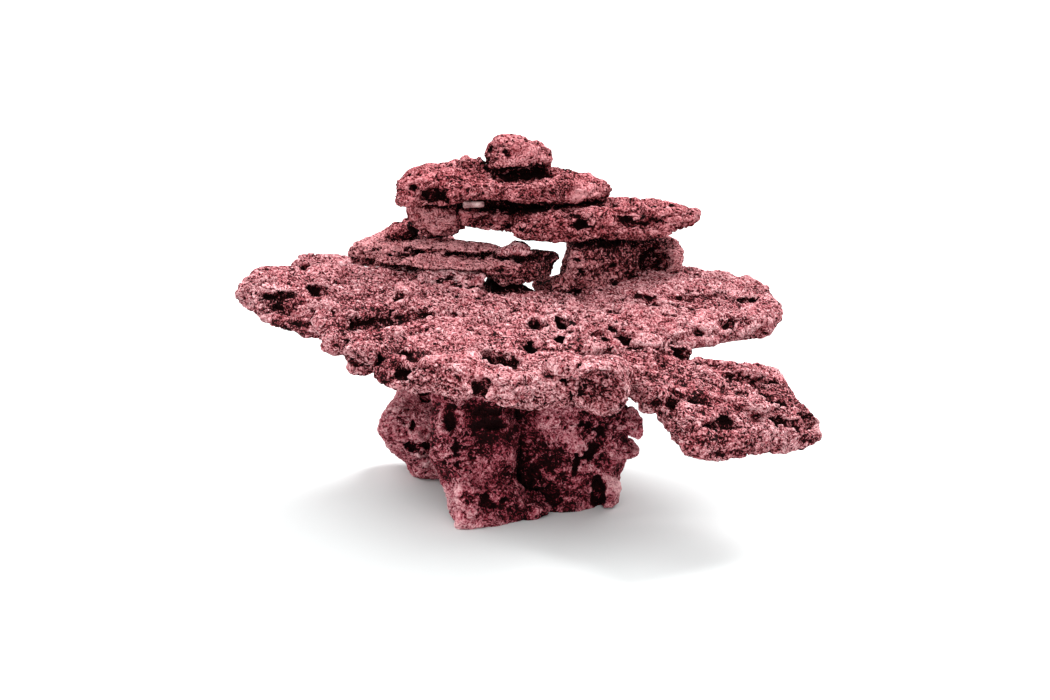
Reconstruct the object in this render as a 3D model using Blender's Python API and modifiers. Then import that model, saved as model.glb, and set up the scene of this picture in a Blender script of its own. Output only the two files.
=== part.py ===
"""A free-standing reef scape for an aquarium: dry reef stones bonded into one piece.

Three blocks stand on the floor and carry a wide main shelf and two right-hand shelves. Props and
a pillar on those carry a middle shelf, and the crown slabs and a round cap stone end the stack.
Everything is in metres, with +Z up, +X to the right and the viewer on the -Y side. The origin is
on the floor under the middle of the scape.
"""

import math

import bmesh
import bpy
from mathutils import Euler, Matrix, Vector, noise

# The heights of the tiers, each at the middle of its slab.
SHELF_TIER = 0.166
MIDDLE_TIER = 0.201
CROWN_TIER = 0.270

# The placing of the stones, moved by this much so that the origin is under the middle of the scape.
TO_MIDDLE = Vector((0.007, -0.024, 0))

# The room left at a bonded joint, and the size of the cells that each stone is rounded to.
BOND_GAP = 0.0006
CELL = 0.0035

# The finish of the stone: a matt crust of dusty rose over darker maroon.
CRUST_ROUGHNESS = 0.95
ROSE = (0.33, 0.10, 0.12)
MAROON = (0.20, 0.06, 0.08)
PALE = (0.62, 0.45, 0.42)

SCAPE = bpy.data.collections.new("reef_scape")
CUTTERS = bpy.data.collections.new("cutters")


def clear_scene():
    for obj in list(bpy.data.objects):
        bpy.data.objects.remove(obj)
    bpy.context.scene.collection.children.link(SCAPE)
    bpy.context.scene.collection.children.link(CUTTERS)


def crust(name, colour):
    """The matt coloured crust of one stone."""
    material = bpy.data.materials.new(name + "_crust")
    material.use_nodes = True
    shader = material.node_tree.nodes["Principled BSDF"]
    shader.inputs["Base Color"].default_value = (*colour, 1)
    shader.inputs["Roughness"].default_value = CRUST_ROUGHNESS
    return material


def evaluated_mesh(obj):
    """The object's mesh with its modifiers applied, in its own frame."""
    bpy.context.view_layer.update()
    graph = bpy.context.evaluated_depsgraph_get()
    return bpy.data.meshes.new_from_object(obj.evaluated_get(graph))


def slab_mesh(outline, thickness, rim):
    """A flat stone with rounded edges, from its outline in plan in millimetres."""
    curve = bpy.data.curves.new("outline", "CURVE")
    curve.dimensions = "2D"
    curve.fill_mode = "BOTH"
    curve.extrude = thickness / 2 - rim
    curve.bevel_depth = rim
    curve.bevel_resolution = 1
    curve.offset = -rim
    spline = curve.splines.new("POLY")
    spline.points.add(len(outline) - 1)
    for point, (x, y) in zip(spline.points, outline):
        point.co = (x / 1000, y / 1000, 0, 1)
    spline.use_cyclic_u = True
    holder = bpy.data.objects.new("outline", curve)
    CUTTERS.objects.link(holder)
    mesh = evaluated_mesh(holder)
    bpy.data.objects.remove(holder)
    return mesh


def add_ball(bm, centre, radii, heading=0):
    """An ellipsoid from its middle and half-axes in millimetres, turned about Z by heading degrees."""
    turn = Matrix.Rotation(math.radians(heading), 4, "Z")
    size = Matrix.Diagonal((*[radius / 1000 for radius in radii], 1))
    place = Matrix.Translation([value / 1000 for value in centre]) @ turn @ size
    bmesh.ops.create_icosphere(bm, subdivisions=3, radius=1, matrix=place)


def rough_form(outline, thickness, rim, ends, lumps):
    """The slab and its lumps in one mesh, still as shapes that run into each other."""
    bm = bmesh.new()
    if outline:
        bm.from_mesh(slab_mesh(outline, thickness, rim))
        bmesh.ops.remove_doubles(bm, verts=bm.verts, dist=0.0001)
        reach = max(abs(x) for x, _ in outline) / 1000
        for vert in bm.verts:
            end = ends[0] if vert.co.x < 0 else ends[1]
            vert.co.z *= 1 - (1 - end) * (vert.co.x / reach) ** 2
    for centre, radii, *heading in lumps:
        add_ball(bm, centre, radii, *heading)
    mesh = bpy.data.meshes.new("rough")
    bm.to_mesh(mesh)
    bm.free()
    return mesh


def add_remesh(obj, cell):
    modifier = obj.modifiers.new("cells", "REMESH")
    modifier.mode = "VOXEL"
    modifier.voxel_size = cell


def carved(mesh, hollows, cell):
    """The form made one skin, with its hollows cut in."""
    form = bpy.data.objects.new("form", mesh)
    CUTTERS.objects.link(form)
    add_remesh(form, cell)
    tools = []
    for centre, radii, *heading in hollows:
        bm = bmesh.new()
        add_ball(bm, centre, radii, *heading)
        tool_mesh = bpy.data.meshes.new("hollow")
        bm.to_mesh(tool_mesh)
        bm.free()
        tool = bpy.data.objects.new("hollow", tool_mesh)
        CUTTERS.objects.link(tool)
        cut = form.modifiers.new("hollow", "BOOLEAN")
        cut.operation = "DIFFERENCE"
        cut.object = tool
        tools.append(tool)
    if hollows:
        add_remesh(form, cell)
    done = evaluated_mesh(form)
    for obj in [form, *tools]:
        bpy.data.objects.remove(obj)
    return done


def weathered(mesh, seed, swell, knobs):
    """Swells the whole skin and knobs its rims. swell and knobs are each (size across, height)."""
    bm = bmesh.new()
    bm.from_mesh(mesh)
    for _ in range(2):
        bmesh.ops.smooth_vert(
            bm, verts=bm.verts, factor=0.5, use_axis_x=True, use_axis_y=True, use_axis_z=True
        )
    bm.normal_update()
    shift = Vector((seed * 1.7, seed * 2.3, seed * 3.1))
    moves = []
    for vert in bm.verts:
        broad = noise.fractal(vert.co / swell[0] + shift, 0.8, 2.1, 3)
        near = noise.voronoi(vert.co / knobs[0] + shift)[0][0]
        steep = 1 - 0.6 * abs(vert.normal.z)
        moves.append(broad * swell[1] + (0.5 - near) * knobs[1] * steep)
    for vert, move in zip(bm.verts, moves):
        vert.co += vert.normal * move
    bm.to_mesh(mesh)
    bm.free()
    return mesh


def stone(
    name,
    colour,
    at,
    tilt=(0, 0, 0),
    outline=None,
    thickness=0.03,
    rim=0.01,
    ends=(1, 1),
    lumps=(),
    hollows=(),
    swell=(0.045, 0.003),
    knobs=(0.020, 0.007),
    seed=1,
    triangles=500,
    cell=CELL,
):
    """One stone: its slab and lumps, less its hollows, weathered and thinned to its triangles."""
    mesh = carved(rough_form(outline, thickness, rim, ends, lumps), hollows, cell)
    mesh = weathered(mesh, seed, swell, knobs)
    obj = bpy.data.objects.new(name, mesh)
    mesh.name = name
    mesh.materials.append(crust(name, colour))
    obj.location = Vector(at) + TO_MIDDLE
    obj.rotation_euler = Euler([math.radians(angle) for angle in tilt])
    SCAPE.objects.link(obj)
    fewer = obj.modifiers.new("fewer", "DECIMATE")
    fewer.ratio = triangles / (2 * len(mesh.polygons))
    fewer.use_collapse_triangulate = True
    return obj


def grown(obj):
    """A copy of a stone as it stands, larger all round by the bond's gap, to cut its neighbours."""
    mesh = evaluated_mesh(obj)
    bm = bmesh.new()
    bm.from_mesh(mesh)
    bm.normal_update()
    for vert in bm.verts:
        vert.co += vert.normal * BOND_GAP
    bm.to_mesh(mesh)
    bm.free()
    cutter = bpy.data.objects.new(obj.name + "_seat", mesh)
    cutter.matrix_world = obj.matrix_world
    cutter.hide_render = True
    cutter.display_type = "WIRE"
    CUTTERS.objects.link(cutter)
    return cutter


def bed(obj, *cutters):
    """Cuts a stone to lie against its neighbours."""
    for cutter in cutters:
        cut = obj.modifiers.new("seat", "BOOLEAN")
        cut.operation = "DIFFERENCE"
        cut.object = cutter


def settle(obj):
    """Makes the cuts final and keeps only the stone's main piece, without the chips cut loose."""
    mesh = evaluated_mesh(obj)
    obj.modifiers.clear()
    obj.data = mesh
    bm = bmesh.new()
    bm.from_mesh(mesh)
    left = set(bm.verts)
    pieces = []
    while left:
        front = [left.pop()]
        piece = list(front)
        while front:
            near = [edge.other_vert(vert) for vert in front for edge in vert.link_edges]
            front = [vert for vert in dict.fromkeys(near) if vert in left]
            left.difference_update(front)
            piece += front
        pieces.append(piece)
    pieces.sort(key=len)
    for piece in pieces[:-1]:
        bmesh.ops.delete(bm, geom=piece, context="VERTS")
    bm.to_mesh(mesh)
    bm.free()


def floor_cutter():
    """Everything below the floor."""
    bm = bmesh.new()
    bmesh.ops.create_cube(bm, size=1, matrix=Matrix.Translation((0, 0, -0.5)))
    mesh = bpy.data.meshes.new("floor")
    bm.to_mesh(mesh)
    bm.free()
    cutter = bpy.data.objects.new("floor", mesh)
    cutter.hide_render = True
    cutter.display_type = "WIRE"
    CUTTERS.objects.link(cutter)
    return cutter


def base_front_block():
    """The front leg: a squared block that leans to the right as it nears its flared foot."""
    return stone(
        "base_front_block", MAROON, (0, 0, 0.080),
        outline=[
            (-84, -36), (-64, -56), (-20, -50), (-8, -30), (-6, 20), (-20, 50), (-60, 45), (-84, 0),
        ],
        thickness=0.165, rim=0.012,
        lumps=[
            ((-52, -50, -62), (18, 31, 30)),
            ((-30, -42, -65), (32, 26, 24)),
            ((-2, -28, -75), (22, 18, 14)),
            ((-68, -40, -5), (17, 20, 34)),
        ],
        hollows=[
            ((-90, -20, -68), (22, 60, 36)),
            ((-74, -64, -46), (7, 12, 14)),
            ((-34, -60, 22), (22, 10, 8)),
            ((-20, -56, -30), (12, 11, 18)),
        ],
        seed=11, triangles=548,
    )


def base_right_block():
    """The right leg: a broad pitted block with ragged spurs on its right side."""
    return stone(
        "base_right_block", MAROON, (0.045, 0.030, 0.070),
        outline=[
            (-64, -44), (-25, -62), (15, -58), (38, -48), (46, -10), (40, 50), (0, 70), (-64, 50),
        ],
        thickness=0.145, rim=0.014,
        lumps=[
            ((-26, -20, 76), (24, 32, 20)),
            ((44, -40, -19), (19, 20, 11)),
            ((44, -40, 10), (20, 20, 13)),
            ((28, -52, -56), (17, 16, 18)),
            ((-10, -56, 30), (24, 14, 18)),
            ((28, -48, 40), (22, 16, 22)),
        ],
        hollows=[
            ((54, -60, -44), (13, 26, 15)),
            ((66, -50, -5), (14, 20, 4)),
            ((6, -66, 2), (8, 14, 12)),
            ((14, -70, -42), (7, 14, 26)),
            ((-22, -68, -26), (9, 12, 15)),
            ((22, -66, -24), (6, 12, 9)),
        ],
        seed=12, triangles=580, knobs=(0.020, 0.005),
    )


def base_left_block():
    """The left leg: a rounded stone set back, that rises behind to meet the main shelf."""
    return stone(
        "base_left_block", MAROON, (-0.098, 0.066, 0.048),
        lumps=[
            ((0, 0, 0), (42, 42, 38)),
            ((14, 4, -26), (34, 38, 28)),
            ((26, 14, 60), (34, 34, 70)),
            ((-20, -12, 8), (26, 26, 24)),
            ((-16, 26, -14), (24, 24, 22)),
        ],
        hollows=[
            ((-16, -44, -20), (24, 12, 8), 10),
            ((-46, 4, -16), (14, 30, 6), 8),
            ((-30, 46, 22), (20, 16, 16)),
        ],
        seed=13, triangles=330, swell=(0.045, 0.005),
    )


def main_shelf():
    """The widest slab: a knobbly plate from the left tip down to the front, pitted on top."""
    return stone(
        "main_shelf", ROSE, (-0.090, -0.010, SHELF_TIER), (9, 3.7, 0),
        outline=[
            (-182, 52), (-179, 72), (-168, 90), (-148, 100), (-122, 104), (-104, 118), (-74, 128),
            (-50, 124), (-30, 118), (-8, 112), (20, 104), (46, 96), (56, 84), (60, 64), (94, 70),
            (124, 72), (136, 54), (138, 12), (136, -30), (144, -68), (147, -96), (136, -116),
            (108, -122), (74, -130), (52, -120), (36, -125), (14, -112), (-8, -106), (-26, -98),
            (-36, -80), (-50, -66), (-64, -52), (-80, -42), (-92, -11), (-126, 6), (-156, 28),
        ],
        thickness=0.023, rim=0.008,
        lumps=[
            ((-124, 4, -7), (36, 7, 5), -31),
            ((-90, -12, 7), (8, 24, 9)),
            ((-72, 20, 8), (20, 9, 7), 15),
            ((-77, -42, -1), (11, 11, 12)),
            ((-54, -56, -2), (14, 12, 12)),
            ((-27, -84, -3), (15, 14, 13)),
            ((0, -96, -3), (17, 13, 13)),
            ((34, -106, -2), (17, 14, 13)),
            ((90, -110, -1), (46, 20, 14)),
            ((-20, 62, 8), (15, 13, 9)),
            ((-150, 62, 4), (24, 30, 10)),
        ],
        hollows=[
            ((-123, 14, 6), (31, 12, 11), -31),
            ((-118, 6, -6), (6, 7, 8)),
            ((-31, 76, 0), (7, 6, 20)),
            ((-36, -12, 12), (42, 10, 13), 34),
            ((16, 10, 13), (28, 6, 8), 4),
            ((-28, 60, 18), (5, 7, 9)),
            ((-12, 62, 18), (5, 7, 9)),
            ((98, -4, 10), (9, 9, 16), -20),
            ((124, 4, 10), (8, 12, 16)),
            ((121, -31, 12), (6, 7, 12)),
            ((93, -54, 12), (6, 13, 12), 20),
            ((72, -80, 13), (17, 13, 15), -12),
            ((54, -120, 10), (12, 12, 12), 30),
            ((-82, 88, 13), (8, 9, 9)),
            ((-105, 48, 14), (15, 11, 11), -20),
            ((-113, 22, 12), (9, 8, 9)),
            ((-12, -96, 10), (16, 10, 9)),
            ((-20, -70, 20), (26, 18, 12)),
        ],
        knobs=(0.021, 0.008), seed=21, triangles=1640,
    )


def right_upper_shelf():
    """The plate that runs out level to the right and back, with the pillar on it."""
    return stone(
        "right_upper_shelf", ROSE, (0.130, 0.055, 0.163), (8, -1, 0),
        outline=[
            (-90, 10), (-92, 60), (-75, 104), (-30, 114), (18, 108), (44, 100), (54, 84),
            (70, 62), (94, 71), (105, 50), (110, 14), (110, -16), (97, -38), (80, -41), (66, -50),
            (47, -54), (29, -60), (10, -64), (-14, -68), (-36, -80), (-62, -76), (-80, -68), (-88, -30),
        ],
        thickness=0.022, rim=0.009,
        lumps=[((-24, -70, -4), (28, 16, 12)), ((-60, -50, 2), (26, 24, 13)), ((40, 60, 4), (50, 30, 9), 10)],
        hollows=[
            ((-44, -84, 12), (12, 10, 10)),
            ((-25, -14, 15), (22, 8, 8), 25),
            ((52, -46, 12), (9, 9, 9)),
            ((80, 4, 13), (8, 10, 8)),
        ],
        seed=22, triangles=590,
    )


def right_lower_shelf():
    """The thick plate that slopes down to the right and front, tucked under the upper one."""
    return stone(
        "right_lower_shelf", ROSE, (0.170, -0.070, 0.118), (14, 11, 0),
        outline=[
            (-100, 8), (-98, 34), (-68, 42), (-49, 50), (-31, 55), (-14, 54), (4, 56), (21, 59),
            (40, 61), (55, 55), (65, 42), (74, 24), (83, 5), (89, -12), (88, -31), (77, -46),
            (62, -50), (48, -54), (34, -66), (18, -78), (0, -82), (-18, -92), (-34, -82), (-45, -60),
            (-52, -38), (-62, -22), (-76, -10),
        ],
        thickness=0.030, rim=0.013, ends=(1.2, 0.7),
        lumps=[
            ((-62, 24, 6), (22, 22, 12)),
            ((0, -46, 2), (42, 30, 16)),
            ((30, 36, 6), (34, 16, 9), -8),
            ((48, -22, 4), (28, 20, 11)),
        ],
        hollows=[
            ((-20, -28, 22), (21, 11, 15), -8),
            ((-9, -68, 22), (10, 11, 14)),
            ((7, -62, 22), (8, 9, 12)),
            ((-52, -42, 8), (8, 10, 8)),
            ((44, 4, 18), (24, 6, 9), -55),
            ((-55, 20, 22), (12, 9, 8)),
        ],
        seed=23, triangles=700,
    )


def front_cobble():
    """The rounded end stone at the front, with a dished face."""
    return stone(
        "front_cobble", ROSE, (0.060, -0.110, 0.146), (0, 0, 0),
        lumps=[((-4, 0, 0), (26, 28, 24)), ((6, -4, -2), (24, 28, 25)), ((0, -12, 12), (24, 18, 13))],
        hollows=[((-1, -45, 2), (20, 23, 18))],
        seed=24, triangles=260, knobs=(0.020, 0.003), swell=(0.045, 0.002),
    )


def left_fin():
    """The thin splinter behind the back edge of the main shelf."""
    return stone(
        "left_fin", ROSE, (-0.194, 0.118, 0.200), (9, 2, 0),
        outline=[(-30, -22), (-26, 2), (-4, 6), (22, 6), (27, -6), (24, -26)],
        thickness=0.011, rim=0.004,
        seed=25, triangles=60, knobs=(0.020, 0.002), swell=(0.045, 0.002),
    )


def middle_prop():
    """The squared block on the main shelf that carries the middle shelf."""
    return stone(
        "middle_prop", ROSE, (-0.072, 0.082, 0.182),
        lumps=[
            ((0, 12, 4), (38, 20, 18)),
            ((2, -8, -4), (36, 20, 14)),
            ((-24, 2, 2), (16, 20, 13)),
            ((24, 2, 2), (15, 18, 13)),
        ],
        seed=31, triangles=80,
    )


def rear_prop():
    """The block in shadow at the back that carries the right end of the middle shelf."""
    return stone(
        "rear_prop", MAROON, (-0.014, 0.120, 0.160),
        lumps=[((-12, 0, 0), (13, 22, 36)), ((0, 0, -21), (25, 26, 27))],
        seed=32, triangles=80,
    )


def middle_shelf():
    """A slab of two leaves split by a crack, behind and above the main shelf."""
    return stone(
        "middle_shelf", ROSE, (-0.070, 0.150, MIDDLE_TIER), (4, 2, 0),
        outline=[
            (-104, -26), (-96, -4), (-86, 18), (-72, 46), (-30, 56), (-4, 36), (8, 4), (20, -12),
            (34, -16), (58, -12), (90, -14), (98, -32), (90, -56), (66, -72), (46, -72), (34, -53),
            (12, -51), (-30, -47), (-52, -47), (-76, -28),
        ],
        thickness=0.022, rim=0.006,
        lumps=[((85, -32, 9), (19, 15, 6))],
        hollows=[
            ((20, -64, 2), (76, 20, 6), -18),
            ((-30, -50, 3), (40, 12, 5), -10),
        ],
        seed=33, triangles=700, knobs=(0.020, 0.004), swell=(0.045, 0.002), cell=0.0025,
    )


def small_chock():
    """The chip that fills the joint between the middle shelf and the right crown slab."""
    return stone(
        "small_chock", ROSE, (-0.006, 0.112, 0.214),
        lumps=[((0, 0, -1), (12, 14, 9))],
        seed=34, triangles=40, knobs=(0.020, 0.001), swell=(0.045, 0.001),
    )


def right_pillar():
    """The upright block with a cavern in its right face, under the right crown slab."""
    return stone(
        "right_pillar", ROSE, (0.095, 0.150, 0.190),
        outline=[
            (-64, -46), (-40, -54), (0, -38), (40, -26), (58, -12), (56, 16), (20, 32), (-50, 24),
        ],
        thickness=0.056, rim=0.012,
        lumps=[((-66, -10, -20), (22, 22, 10)), ((50, -12, 8), (10, 18, 18))],
        hollows=[
            ((30, -28, 6), (17, 24, 19)),
            ((20, -36, -16), (10, 18, 14)),
            ((-72, -34, 18), (25, 50, 27)),
        ],
        seed=35, triangles=360,
    )


def neck_stone():
    """The knobbly stone on the middle shelf that carries the left of the crown."""
    return stone(
        "neck_stone", ROSE, (-0.086, 0.148, 0.236),
        lumps=[((0, 0, 0), (27, 24, 19)), ((-14, -4, 6), (16, 18, 14)), ((14, -4, 2), (14, 18, 14))],
        seed=41, triangles=190, knobs=(0.016, 0.006),
    )


def neck_chip():
    """The flat chip beside the neck stone."""
    return stone(
        "neck_chip", ROSE, (-0.122, 0.160, 0.220), (0, 0, 20),
        lumps=[((0, 0, 0), (18, 16, 10)), ((6, 0, 6), (10, 10, 8))],
        seed=42, triangles=50, knobs=(0.020, 0.003), swell=(0.045, 0.002),
    )


def back_slab():
    """The thin slab under the crown that spans from the neck stone to the right crown slab."""
    return stone(
        "back_slab", MAROON, (-0.024, 0.152, 0.238), (4, 4, 0),
        outline=[(-52, -18), (-50, 20), (-20, 30), (20, 28), (48, 8), (46, -20), (6, -28), (-30, -26)],
        thickness=0.018, rim=0.006,
        seed=43, triangles=100, knobs=(0.020, 0.003), swell=(0.045, 0.002),
    )


def right_crown_slab():
    """The wedge-shaped slab that runs out to the right under the crown."""
    return stone(
        "right_crown_slab", ROSE, (0.076, 0.130, 0.240), (3, -2.5, 0),
        outline=[
            (-88, -26), (-84, 6), (-56, 22), (0, 30), (46, 24), (74, 14), (90, -8), (84, -20),
            (54, -32), (24, -38), (0, -34), (-40, -34), (-72, -34),
        ],
        thickness=0.032, rim=0.011, ends=(0.75, 0.45),
        lumps=[((-74, -22, -2), (14, 12, 11)), ((30, -20, -6), (40, 18, 12)), ((84, -12, 2), (8, 8, 7))],
        hollows=[
            ((-14, -46, 0), (18, 13, 6)),
            ((48, -40, 0), (24, 12, 5), 6),
            ((30, -42, 12), (58, 16, 4), 2),
            ((-78, -36, 0), (7, 8, 7)),
        ],
        seed=44, triangles=610, knobs=(0.020, 0.004), swell=(0.045, 0.002), cell=0.0025,
    )


def crown_slab():
    """The thick lens-shaped slab at the top left, with a rounded knob at its left end."""
    return stone(
        "crown_slab", ROSE, (-0.021, 0.140, CROWN_TIER), (5, 2, 0),
        outline=[
            (-104, -18), (-92, 10), (-60, 34), (-10, 46), (44, 44), (84, 24), (107, -2), (94, -20),
            (58, -34), (20, -40), (-30, -44), (-70, -44), (-94, -36),
        ],
        thickness=0.027, rim=0.011, ends=(0.9, 0.6),
        lumps=[
            ((-72, -16, 2), (29, 27, 17)),
            ((-48, 2, 10), (34, 26, 10)),
            ((-33, 6, 17), (9, 8, 6)),
            ((40, 4, 5), (34, 28, 12)),
            ((40, -26, -5), (20, 14, 10)),
        ],
        hollows=[
            ((-64, -46, 0), (13, 16, 9)),
            ((-84, -42, 6), (5, 8, 5)),
            ((-2, -36, -14), (50, 20, 8)),
            ((8, 0, 20), (30, 30, 8)),
        ],
        seed=45, triangles=650, swell=(0.045, 0.002),
    )


def cap_stone():
    """The round stone on top."""
    return stone(
        "cap_stone", ROSE, (-0.008, 0.146, 0.297),
        lumps=[((-6, 0, 0), (25, 24, 22)), ((13, 0, -2), (22, 21, 18))],
        hollows=[((-9, -26, 4), (8, 8, 7))],
        seed=46, triangles=220, swell=(0.045, 0.001), knobs=(0.016, 0.003),
    )


def pale_rod():
    """The short pale pin that shows in the gap under the crown slab."""
    bpy.ops.mesh.primitive_cylinder_add(vertices=12, radius=0.0030, depth=0.020)
    obj = bpy.context.object
    obj.name = "pale_rod"
    obj.location = Vector((-0.049, 0.104, 0.258)) + TO_MIDDLE
    obj.rotation_euler = Euler((0, math.radians(90), math.radians(8)))
    obj.data.materials.append(crust("pale_rod", PALE))
    for collection in list(obj.users_collection):
        collection.objects.unlink(obj)
    SCAPE.objects.link(obj)
    return obj


# The neighbours that each stone is cut to lie against.
BEDS = {
    "base_front_block": ["main_shelf", "front_cobble"],
    "base_right_block": [
        "main_shelf", "front_cobble", "right_upper_shelf", "right_lower_shelf", "base_front_block",
    ],
    "base_left_block": ["main_shelf", "base_front_block", "base_right_block"],
    "front_cobble": ["main_shelf"],
    "left_fin": ["main_shelf", "middle_shelf"],
    "right_upper_shelf": ["main_shelf"],
    "right_lower_shelf": ["main_shelf", "right_upper_shelf", "front_cobble"],
    "middle_shelf": ["main_shelf"],
    "middle_prop": ["main_shelf", "middle_shelf", "base_left_block"],
    "rear_prop": [
        "main_shelf", "right_upper_shelf", "middle_shelf", "middle_prop", "base_left_block",
        "base_right_block",
    ],
    "right_pillar": ["main_shelf", "right_upper_shelf", "middle_shelf", "right_crown_slab", "rear_prop"],
    "small_chock": ["middle_shelf", "right_crown_slab", "right_pillar"],
    "neck_stone": ["middle_shelf", "crown_slab"],
    "neck_chip": ["middle_shelf", "neck_stone"],
    "back_slab": ["crown_slab", "right_crown_slab", "neck_stone"],
    "right_crown_slab": ["crown_slab"],
    "cap_stone": ["crown_slab"],
    "crown_slab": ["pale_rod"],
}


def build():
    clear_scene()
    stones = [
        base_front_block(), base_right_block(), base_left_block(),
        main_shelf(), right_upper_shelf(), right_lower_shelf(), front_cobble(), left_fin(),
        middle_prop(), rear_prop(), middle_shelf(), small_chock(), right_pillar(),
        neck_stone(), neck_chip(), back_slab(), right_crown_slab(), crown_slab(), cap_stone(),
        pale_rod(),
    ]
    by_name = {obj.name: obj for obj in stones}
    bpy.context.view_layer.update()
    seats = {name: grown(obj) for name, obj in by_name.items()}
    floor = floor_cutter()
    for name, against in BEDS.items():
        bed(by_name[name], *(seats[other] for other in against))
    for name in ("base_front_block", "base_right_block", "base_left_block"):
        bed(by_name[name], floor)
    for obj in stones:
        settle(obj)


build()
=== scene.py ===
import math

import bmesh
import bpy
from mathutils import Matrix, Vector


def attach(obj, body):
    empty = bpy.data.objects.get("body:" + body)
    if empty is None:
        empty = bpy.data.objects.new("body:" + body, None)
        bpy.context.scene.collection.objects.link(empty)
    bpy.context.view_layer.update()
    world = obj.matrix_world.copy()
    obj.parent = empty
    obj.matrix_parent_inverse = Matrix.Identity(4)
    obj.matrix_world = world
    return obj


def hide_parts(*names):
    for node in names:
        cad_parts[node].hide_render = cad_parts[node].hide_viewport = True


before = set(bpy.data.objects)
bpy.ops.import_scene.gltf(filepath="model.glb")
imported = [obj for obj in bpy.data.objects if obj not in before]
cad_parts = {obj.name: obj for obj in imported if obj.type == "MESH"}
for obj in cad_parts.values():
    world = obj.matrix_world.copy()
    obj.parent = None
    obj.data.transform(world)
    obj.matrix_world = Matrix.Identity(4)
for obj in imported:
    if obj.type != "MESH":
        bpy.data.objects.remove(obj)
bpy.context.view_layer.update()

# The studio: a white painted table that runs out past the picture's edges, under a white sky and
# three soft lamps: a broad one above and to the left, a stronger one high behind at the right and
# a weak broad one low in front. The camera looks down on the scape from the front by 16 degrees.
TABLE_WIDTH = 24
TABLE_WHITE = (0.645, 0.665, 0.665, 1)
LAMPS = {
    "top_lamp": {"strength": 2.5, "spread": 76, "lean_back": 14, "lean_left": 27},
    "back_lamp": {"strength": 4.2, "spread": 28, "lean_back": 30, "lean_left": -34},
    "front_lamp": {"strength": 1.4, "spread": 90, "lean_back": -62, "lean_left": 8},
}
SKY_STRENGTH = 0.92
CAMERA_PLACE = (0.007, -1.560, 0.5841)
CAMERA_TILT = 90 - 16

bpy.ops.mesh.primitive_plane_add(size=TABLE_WIDTH)
table = bpy.context.object
table.name = "table"
table_white = bpy.data.materials.new("table_white")
table_white.use_nodes = True
table_shader = table_white.node_tree.nodes["Principled BSDF"]
table_shader.inputs["Base Color"].default_value = TABLE_WHITE
table_shader.inputs["Roughness"].default_value = 0.8
table_shader.inputs["Specular IOR Level"].default_value = 0.1
table.data.materials.append(table_white)

for name, lamp in LAMPS.items():
    light = bpy.data.lights.new(name, "SUN")
    light.energy = lamp["strength"]
    light.angle = math.radians(lamp["spread"])
    stand = bpy.data.objects.new(name, light)
    stand.rotation_euler = (math.radians(-lamp["lean_back"]), math.radians(-lamp["lean_left"]), 0)
    bpy.context.collection.objects.link(stand)

sky = bpy.data.worlds.new("white_sky")
sky.use_nodes = True
sky.node_tree.nodes["Background"].inputs["Color"].default_value = (1, 1, 1, 1)
sky.node_tree.nodes["Background"].inputs["Strength"].default_value = SKY_STRENGTH
bpy.context.scene.world = sky
bpy.context.scene.view_settings.view_transform = "Standard"

camera = bpy.data.objects.new("camera", bpy.data.cameras.new("camera"))
camera.data.lens = 60
camera.data.sensor_width = 36
camera.location = CAMERA_PLACE
camera.rotation_euler = (math.radians(CAMERA_TILT), 0, 0)
bpy.context.collection.objects.link(camera)
bpy.context.scene.camera = camera


# The main shelf: the widest stone, a knobbly plate of reef stone from the left tip to the front,
# pitted on top. Its form is the solid's own, with its holes cut again at their true size. All the
# stones are made like it, so the tools for the crust of a stone stand here.
class Wire:
    """One output of a node tree. Sums on wires add the Math nodes that work them out."""

    def __init__(self, tree, socket=None):
        self.tree = tree
        self.socket = socket

    def node(self, kind, settings=None, out=0, **values):
        """Adds a node. A socket is named by its name with underscores, or as s0, s1 and so on."""
        made = self.tree.nodes.new(kind)
        for name, value in (settings or {}).items():
            if name == "stops":
                ramp = made.color_ramp.elements
                while len(ramp) < len(value):
                    ramp.new(1)
                for stop, (place, colour) in zip(ramp, value):
                    stop.position = place
                    stop.color = (*colour, 1)
            else:
                setattr(made, name, value)
        for name, value in values.items():
            is_number = name[0] == "s" and name[1:].isdigit()
            socket = made.inputs[int(name[1:]) if is_number else name.replace("_", " ")]
            if isinstance(value, Wire):
                self.tree.links.new(value.socket, socket)
            else:
                socket.default_value = value
        return Wire(self.tree, made.outputs[out])

    def output(self, out):
        """Another output of the same node."""
        return Wire(self.tree, self.socket.node.outputs[out])

    def joined(self, other):
        """This geometry and another one together."""
        both = self.node("GeometryNodeJoinGeometry", Geometry=self)
        self.tree.links.new(other.socket, both.socket.node.inputs["Geometry"])
        return both

    def maths(self, operation, *others):
        values = {f"s{n + 1}": other for n, other in enumerate(others)}
        return self.node("ShaderNodeMath", {"operation": operation}, s0=self, **values)

    def __add__(self, other):
        return self.maths("ADD", other)

    def __sub__(self, other):
        return self.maths("SUBTRACT", other)

    def __rsub__(self, other):
        return self.maths("MULTIPLY", -1).maths("ADD", other)

    def __mul__(self, other):
        return self.maths("MULTIPLY", other)

    def __truediv__(self, other):
        return self.maths("DIVIDE", other)

    def __abs__(self):
        return self.maths("ABSOLUTE")

    def vector(self, operation, *others, out=0):
        values = {f"s{n + 1}": other for n, other in enumerate(others)}
        return self.node("ShaderNodeVectorMath", {"operation": operation}, out, s0=self, **values)

    def scaled(self, factor):
        return self.node("ShaderNodeVectorMath", {"operation": "SCALE"}, s0=self, Scale=factor)

    def ramp(self, low, high):
        """0 at low, 1 at high, and a soft step between them."""
        settings = {"interpolation_type": "SMOOTHSTEP"}
        return self.node("ShaderNodeMapRange", settings, Value=self, From_Min=low, From_Max=high)

    def noise(self, size, detail=2.0, roughness=0.5, out=0):
        return self.node(
            "ShaderNodeTexNoise", None, out,
            Vector=self, Scale=1 / size, Detail=detail, Roughness=roughness,
        )


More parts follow.
